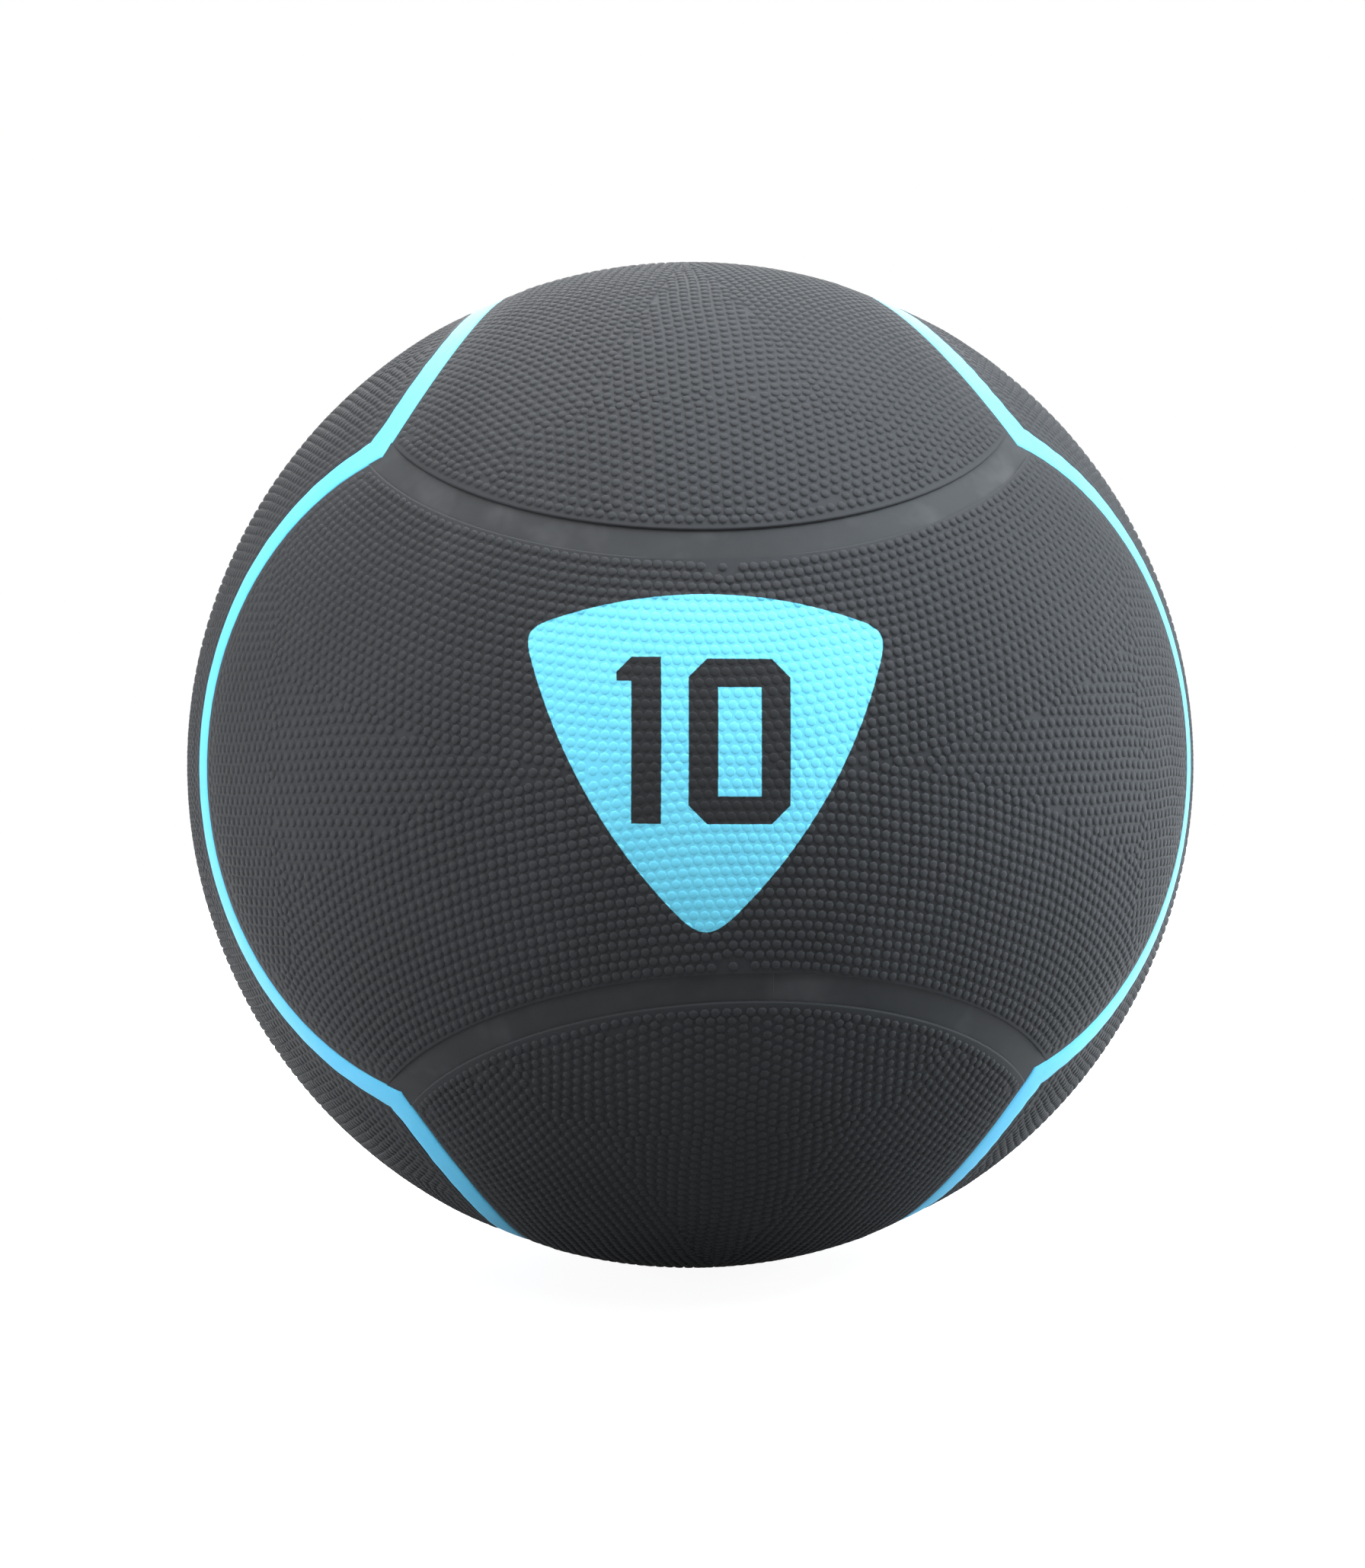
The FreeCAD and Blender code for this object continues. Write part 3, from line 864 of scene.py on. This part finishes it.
def make_badge(pebbles, material):
    """The badge is a thin printed sheet on the skin, with its own low pebbles."""
    turn = np.linspace(0, 2 * math.pi, BADGE_POINTS, endpoint=False)
    reach, beyond = np.zeros(BADGE_POINTS), np.full(BADGE_POINTS, BADGE_REACH)
    for _ in range(30):   # halvings of the distance in which the outline lies
        middle = (reach + beyond) / 2
        inside = badge_edge(middle * np.cos(turn), middle * np.sin(turn)) < 0
        reach, beyond = np.where(inside, middle, reach), np.where(inside, beyond, middle)
    rings, tilts = [], []
    sheet = [(i / BADGE_RINGS, PAINT_THICKNESS) for i in range(BADGE_RINGS + 1)]
    for share, rise in sheet + [BADGE_HEM]:
        x, z = ball_coordinates(reach * share * np.cos(turn), reach * share * np.sin(turn))
        direction = unit(np.stack([x, -np.sqrt(SKIN_RADIUS ** 2 - x * x - z * z), z], -1))
        rings.append(direction * (SKIN_RADIUS + rise))
        tilts.append(direction)
    badge = Skin()
    badge.net(rings, tilts, closed=True)
    add_pebbles(badge, pebbles, SKIN_RADIUS + PAINT_THICKNESS, PRINTED_HEIGHT)
    finish_piece(badge.make("weight_badge_print"), material, "weight_badge")


def make_channel(side, other, material):
    """A smooth floor with a soft dish between two panels, rising to the stripes at its ends."""
    axis, angle = edge_circle(FRONT, LEFT)
    ends = [crossing((axis, angle), edge_circle(LEFT, way), FRONT + LEFT + way) for way in (BOTTOM, TOP)]
    rows, tilts = [], []
    for across in np.linspace(-CHANNEL_LAP, CHANNEL_LAP, CHANNEL_ROWS):
        circle = axis, angle + across * HALF_CHANNEL
        hub = axis * math.cos(circle[1])
        starts = [hub + unit(end - axis * math.cos(angle)) * math.sin(circle[1]) for end in ends]
        line = arc(circle, *starts, CHANNEL_POINTS)
        reach = np.minimum(*[np.linalg.norm(line - end, axis=1) for end in ends]) * BALL_RADIUS
        climb = np.clip(1 - (reach - CLIMB_START) / CLIMB_LENGTH, 0, 1)[:, None]
        climb = climb * climb * (3 - 2 * climb) * (SKIN_RADIUS - CHANNEL_TOP - CHANNEL_RADIUS)
        rows.append(line * (CHANNEL_RADIUS - CHANNEL_DISH * (1 - across * across) + climb))
        away = unit(line * math.cos(circle[1]) - axis)
        tilts.append(line - away * CHANNEL_TILT * across)
    channel = Skin()
    channel.net(rows, tilts)
    piece = channel.make(side + "_" + other + "_strip", turn_to(PLACES[side][0], PLACES[other][0]))
    finish_piece(piece, material, side + "_" + other + "_channel")


def brushed_edge(count):
    """Slow and quick wobble of a hand-painted edge along a closed line."""
    along = np.linspace(0, 2 * math.pi, count, endpoint=False)
    wobble = np.zeros(count)
    for turns in BRUSH_WAVES:
        wobble += random.normal(0, BRUSH_WOBBLE) * np.sin(turns * along + random.uniform(0, 2 * math.pi))
    return wobble


def make_stripe(side, material):
    """A closed painted band round a side panel, softly crowned and thicker at the corners."""
    middle = panel_ring(0, 0, STRIPE_POINTS)
    corners = middle[::STRIPE_POINTS - 1]
    nearest = np.min([np.linalg.norm(middle - corner, axis=1) for corner in corners], axis=0)
    at_corner = np.exp(-(nearest * BALL_RADIUS / CORNER_REACH) ** 2)
    inner, outer = [PAINT_OVERLAP[side] + brushed_edge(len(middle)) + swell * at_corner
                    for swell in CORNER_SWELL]
    rings, tilts = [], []
    for across, rise, tilt in STRIPE_SECTION:
        ring = panel_ring(across * HALF_STRIPE, across * HALF_STRIPE, STRIPE_POINTS)
        out = outward(ring)
        push = (outer if across > 0 else inner) * across ** 3 / BALL_RADIUS
        ring = unit(ring + out * push[:, None])
        rings.append(ring * (STRIPE_RADIUS + rise))
        tilts.append(unit(ring + out * math.tan(tilt)))
    stripe = Skin()
    stripe.net(rings, tilts, closed=True)
    piece = stripe.make(side + "_painted_stripe", turn_to(*PLACES[side]))
    finish_piece(piece, material, side + "_stripe")


def make_cover():
    grip, printed, channel, stripe = grip_rubber(), printed_rubber(), channel_rubber(), stripe_paint()
    for side in PLACES:
        pebbles = pebble_places(*HALF_GAPS[side])
        if side == "front":
            spots = pebbles * SKIN_RADIUS
            on_badge = badge_edge(*badge_coordinates(spots[:, 0], spots[:, 2])) < 0
            badge_pebbles, pebbles = pebbles[on_badge], pebbles[~on_badge]
        make_panel(side, pebbles, printed if side == "front" else grip)
    make_badge(badge_pebbles, printed)
    for side in ("top", "bottom"):
        for other in ("front", "back"):
            make_channel(side, other, channel)
    for side in ("left", "right"):
        make_stripe(side, stripe)


def finish_inner_pieces():
    """The layers under the cover and the valve keep the part's own shapes."""
    carcass = plain_rubber("carcass_rubber", colour(0.03, 0.03, 0.03), colour(0.06, 0.058, 0.055),
                           rough=0.7, size=20)
    winding = yarn_winding()
    weight = plain_rubber("weight_rubber", colour(0.05, 0.045, 0.04), colour(0.1, 0.09, 0.08),
                          rough=0.8, size=6)
    bladder = plain_rubber("bladder_butyl", colour(0.015, 0.015, 0.016), colour(0.03, 0.03, 0.032),
                           rough=0.45, size=30)
    valve = plain_rubber("valve_rubber", colour(0.02, 0.02, 0.02), colour(0.04, 0.04, 0.04),
                         rough=0.55, size=5)
    finishes = {"carcass": carcass, "winding": winding, "front_weight": weight, "back_weight": weight,
                "bladder": bladder, "valve_boot": valve, "valve_insert": valve}
    for node, material in finishes.items():
        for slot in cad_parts[node].material_slots:
            slot.material = material


make_cover()
finish_inner_pieces()

# Studio, in metres.
FLOOR_HALF_SIZE = 3.0
FLOOR_HEIGHT = -CREST_RADIUS * MM
ROOM_LIGHT = 0.18

# Painted light and shade of the floor, in mm from under the ball's middle.
FLOOR_NEAR, FLOOR_FAR = 200.0, 700.0
PAINTED_SHADE_REACH, PAINTED_SHADE_LENGTH = 40.0, 280.0
FLOOR_PAINTED_SHADE, FLOOR_PAINTED_LIGHT = colour(0.18, 0.18, 0.18), colour(0.7, 0.7, 0.7)


def make_floor():
    """A floor with painted light and shade: its colour is dim in front of the ball and pale beside and
    behind it, and its glow is dimmer near the ball.
    """
    half = FLOOR_HALF_SIZE
    mesh = bpy.data.meshes.new("studio_floor")
    mesh.from_pydata([(-half, -half, FLOOR_HEIGHT), (half, -half, FLOOR_HEIGHT),
                      (half, half, FLOOR_HEIGHT), (-half, half, FLOOR_HEIGHT)], [], [(0, 1, 2, 3)])
    floor = bpy.data.objects.new("studio_floor", mesh)
    bpy.context.scene.collection.objects.link(floor)
    paint = Paint("studio_floor", Roughness=0.9, Specular_IOR_Level=0.0, Emission_Strength=1.0)
    x, y = paint.coordinates()[:2]
    away = ((distance(x, y) - FLOOR_NEAR) / (FLOOR_FAR - FLOOR_NEAR)).clamped()
    seen, mirrored_floor = paint.backdrop_rays()
    # The floor's colour is painted darker in front of the ball as painted shade, and paler beside and
    # behind it as painted light.
    painted_light = ((abs(x) + x * 0.15 + y * 0.8 + PAINTED_SHADE_REACH) / PAINTED_SHADE_LENGTH).clamped()
    # The glow is the white backdrop and is a little lower near the ball; in the ball's gloss it is much
    # lower near and in front of the ball, a painted shadow.
    glow = seen * (0.93 + away * 0.3) + mirrored_floor * (0.12 + painted_light * 0.5 + away * 0.38)
    paint.set(Base_Color=paint.mix(painted_light, FLOOR_PAINTED_SHADE, FLOOR_PAINTED_LIGHT),
              Emission_Color=paint.mix(glow, colour(0, 0, 0), colour(1, 1, 1)))
    mesh.materials.append(paint.material)


def make_room():
    """White to look at and in the ball's gloss, but dim as a light."""
    world = bpy.data.worlds.new("studio")
    bpy.context.scene.world = world
    sky = NodeTree(world)
    dim, white = [sky.node("ShaderNodeBackground", {}, {"Color": (1, 1, 1, 1), "Strength": strength})
                  for strength in (ROOM_LIGHT, 1.0)]
    backdrop = sky.node("ShaderNodeMixShader", {}, {0: larger(*sky.backdrop_rays()), 1: dim.outputs[0],
                                                    2: white.outputs[0]})
    sky.links.new(backdrop.outputs[0], sky.nodes["World Output"].inputs["Surface"])


def soft_box(name, place, size, power, tint=(1.0, 1.0, 1.0)):
    """A square lamp that faces the ball."""
    light = bpy.data.lights.new(name, "AREA")
    light.size, light.energy, light.color = size, power, tint
    lamp = bpy.data.objects.new(name, light)
    lamp.location = place
    lamp.rotation_euler = (-Vector(place)).to_track_quat("-Z", "Y").to_euler()
    bpy.context.scene.collection.objects.link(lamp)


def place_camera(place, aim, roll, lens):
    """A level camera, then rolled a little, with its lens in mm on a 36 mm sensor."""
    data = bpy.data.cameras.new("camera")
    data.lens, data.sensor_width = lens, 36.0
    camera = bpy.data.objects.new("camera", data)
    camera.location = place
    level = (Vector(aim) - camera.location).to_track_quat("-Z", "Y").to_matrix()
    camera.rotation_euler = (level @ Matrix.Rotation(roll, 3, "Z")).to_euler()
    bpy.context.scene.collection.objects.link(camera)
    bpy.context.scene.camera = camera


make_floor()
make_room()
soft_box("key_light", (0.9, -0.40, 1.05), 0.9, 33.0, (0.84, 0.94, 1.0))
soft_box("top_light", (-0.2, 0.1, 1.6), 1.5, 34.0)
soft_box("front_light", (-0.25, -1.10, 1.5), 1.1, 23.0)
soft_box("left_light", (-1.35, -0.30, -0.08), 1.0, 17.0, (0.94, 0.97, 1.0))
soft_box("right_light", (1.35, 0.1, -0.08), 1.0, 23.0, (0.88, 0.95, 1.0))
soft_box("back_light", (0.1, 1.3, 0.9), 1.4, 18.0)
place_camera((-0.04334, -0.67070, 0.00166), aim=(-0.00231, 0.0, -0.00525),
             roll=math.radians(-1.615), lens=53.065)
bpy.context.scene.view_settings.view_transform = "Standard"
